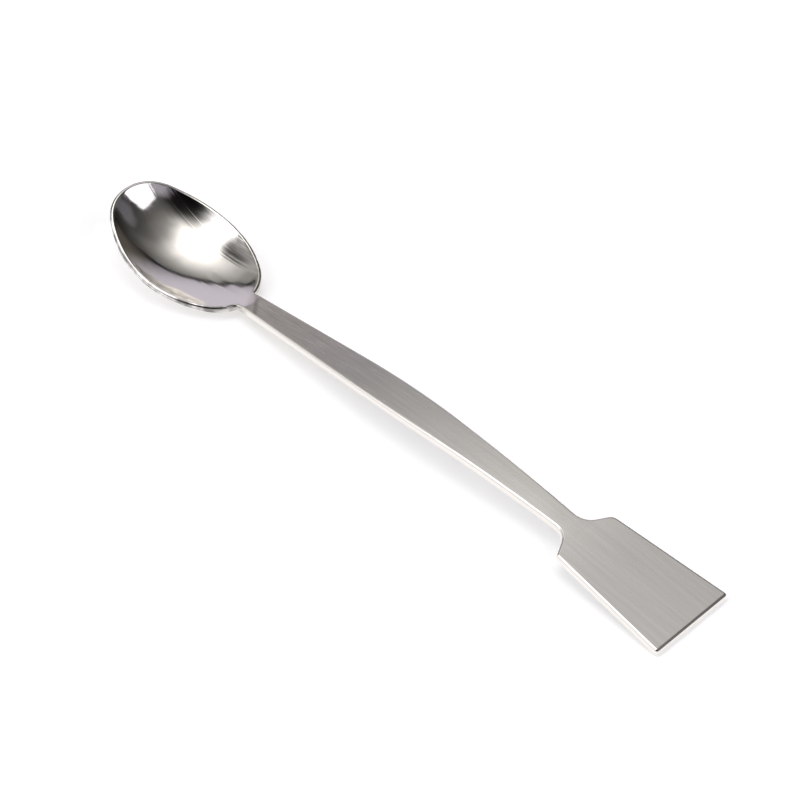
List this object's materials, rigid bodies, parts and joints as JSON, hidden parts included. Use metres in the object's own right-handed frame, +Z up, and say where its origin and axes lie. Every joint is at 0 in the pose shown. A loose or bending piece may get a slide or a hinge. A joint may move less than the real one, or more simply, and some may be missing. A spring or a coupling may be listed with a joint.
{
  "type": "lab spatula",
  "caption": "Flat steel lab spatula with an oval spoon bowl, a slim arched handle and a flared square-ended blade, for scooping, moving and scraping powders.",
  "frame": {"origin": "under the middle of the length, on the plane the spatula rests on", "axes": "+X along the length towards the blade, +Y across the blade, +Z up with the hollow of the bowl facing up"},
  "size_m": [0.2, 0.0314, 0.0138],
  "materials": {
    "steel": "satin stainless steel brushed along the length, with a polished bowl"
  },
  "bodies": {
    "root": {"spatula": "steel"}
  },
  "joints": []
}
